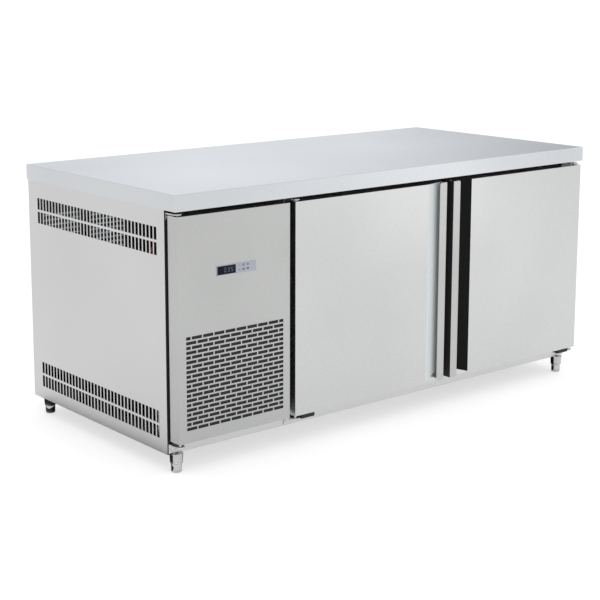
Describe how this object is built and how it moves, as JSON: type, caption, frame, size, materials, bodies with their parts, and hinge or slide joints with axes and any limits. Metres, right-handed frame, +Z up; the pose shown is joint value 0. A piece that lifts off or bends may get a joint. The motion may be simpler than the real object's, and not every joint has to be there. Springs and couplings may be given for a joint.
{
  "type": "undercounter refrigerator",
  "caption": "Free-standing stainless undercounter refrigerator with a flat worktop, hinged insulated doors with recessed pulls, and a side machine compartment behind a grille panel.",
  "frame": {"origin": "on the floor under the middle of the worktop", "axes": "+X along the front from the machine compartment to the right door, +Y from the front to the back, +Z up"},
  "size_m": [1.8, 0.86, 0.85],
  "materials": {
    "worktop_steel": "satin",
    "panel_steel": "satin",
    "door_steel": "satin",
    "machine_panel_steel": "satin",
    "inner_steel": "satin",
    "galvanised": "satin",
    "foam": "matte",
    "wire_steel": "gloss",
    "fin_aluminium": "satin",
    "black_metal": "satin",
    "copper": "satin",
    "seal_rubber": "matte",
    "black_plastic": "matte",
    "white_plastic": "satin",
    "keypad_silver": "satin",
    "key_grey": "satin",
    "display_black": "gloss",
    "foot_chrome": "gloss"
  },
  "bodies": {
    "cabinet": {"worktop": "worktop_steel", "left_side_panel": "panel_steel", "right_side_panel": "panel_steel", "rear_panel": "galvanised", "rear_grille": "galvanised", "base_pan": "panel_steel", "cabinet_insulation": "foam", "partition_skin": "panel_steel", "inner_liner": "inner_steel", "frame_header": "panel_steel", "frame_sill": "panel_steel", "centre_mullion": "panel_steel", "shelf_pilasters": "inner_steel", "shelf_clips": "wire_steel", "left_shelf": "wire_steel", "right_shelf": "wire_steel", "evaporator_coil": "fin_aluminium", "evaporator_cover": "inner_steel", "evaporator_fan_motor": "black_metal", "machine_tray": "galvanised", "condenser_coil": "fin_aluminium", "condenser_shroud": "galvanised", "condenser_fan_motor": "black_metal", "compressor": "black_metal", "compressor_mounts": "seal_rubber", "refrigerant_lines": "copper", "electrical_box": "black_plastic", "cable_gland": "black_plastic", "condensate_tray": "black_plastic", "screws": "galvanised", "hinge_top_brackets": "galvanised", "hinge_bottom_brackets": "galvanised", "hinge_stops": "black_plastic", "foot_sleeves": "foot_chrome"},
    "machine_door": {"machine_panel": "machine_panel_steel", "air_filter": "black_plastic", "controller": "keypad_silver", "display_window": "display_black"},
    "left_door": {"left_door_skin": "door_steel", "left_door_foam": "foam", "left_door_liner": "inner_steel", "left_door_gasket": "seal_rubber", "left_pull_strip": "door_steel", "left_door_bushes": "white_plastic"},
    "right_door": {"right_door_skin": "door_steel", "right_door_foam": "foam", "right_door_liner": "inner_steel", "right_door_gasket": "seal_rubber", "right_pull_strip": "door_steel", "right_door_bushes": "white_plastic"},
    "condenser_rotor": {"condenser_fan": "black_plastic"},
    "evaporator_rotor": {"evaporator_fan": "black_plastic"},
    "up_button": {"key_up": "key_grey"},
    "down_button": {"key_down": "key_grey"},
    "set_button": {"key_set": "key_grey"},
    "defrost_button": {"key_defrost": "key_grey"},
    "front_left_leveller": {"foot_front_left": "foot_chrome"},
    "front_right_leveller": {"foot_front_right": "foot_chrome"},
    "back_left_leveller": {"foot_back_left": "foot_chrome"},
    "back_right_leveller": {"foot_back_right": "foot_chrome"}
  },
  "joints": [
    {"name": "machine_door_hinge", "type": "hinge", "parent": "cabinet", "child": "machine_door", "pos_m": [-0.878, -0.41, 0.4445], "axis": [0, 0, -1], "range_deg": [0, 110]},
    {"name": "left_door_hinge", "type": "hinge", "parent": "cabinet", "child": "left_door", "pos_m": [-0.438, -0.41, 0.4445], "axis": [0, 0, -1], "range_deg": [0, 100], "stiffness_Nm_per_rad": 1.2, "springref_deg": -34.38},
    {"name": "right_door_hinge", "type": "hinge", "parent": "cabinet", "child": "right_door", "pos_m": [0.878, -0.41, 0.4445], "axis": [0, 0, 1], "range_deg": [0, 100], "stiffness_Nm_per_rad": 1.2, "springref_deg": -34.38},
    {"name": "condenser_fan_spin", "type": "hinge", "parent": "cabinet", "child": "condenser_rotor", "pos_m": [-0.69, -0.246, 0.27], "axis": [0, 1, 0], "continuous": true},
    {"name": "evaporator_fan_spin", "type": "hinge", "parent": "cabinet", "child": "evaporator_rotor", "pos_m": [0.22, 0.172, 0.696], "axis": [0, 1, 0], "continuous": true},
    {"name": "up_key_press", "type": "slide", "parent": "machine_door", "child": "up_button", "axis": [0, 1, 0], "range_m": [0, 0.0005], "stiffness_N_per_m": 1500, "springref_m": -0.0005},
    {"name": "down_key_press", "type": "slide", "parent": "machine_door", "child": "down_button", "axis": [0, 1, 0], "range_m": [0, 0.0005], "stiffness_N_per_m": 1500, "springref_m": -0.0005},
    {"name": "set_key_press", "type": "slide", "parent": "machine_door", "child": "set_button", "axis": [0, 1, 0], "range_m": [0, 0.0005], "stiffness_N_per_m": 1500, "springref_m": -0.0005},
    {"name": "defrost_key_press", "type": "slide", "parent": "machine_door", "child": "defrost_button", "axis": [0, 1, 0], "range_m": [0, 0.0005], "stiffness_N_per_m": 1500, "springref_m": -0.0005},
    {"name": "front_left_foot_height", "type": "slide", "parent": "cabinet", "child": "front_left_leveller", "axis": [0, 0, -1], "range_m": [0, 0.015]},
    {"name": "front_right_foot_height", "type": "slide", "parent": "cabinet", "child": "front_right_leveller", "axis": [0, 0, -1], "range_m": [0, 0.015]},
    {"name": "back_left_foot_height", "type": "slide", "parent": "cabinet", "child": "back_left_leveller", "axis": [0, 0, -1], "range_m": [0, 0.015]},
    {"name": "back_right_foot_height", "type": "slide", "parent": "cabinet", "child": "back_right_leveller", "axis": [0, 0, -1], "range_m": [0, 0.015]}
  ]
}
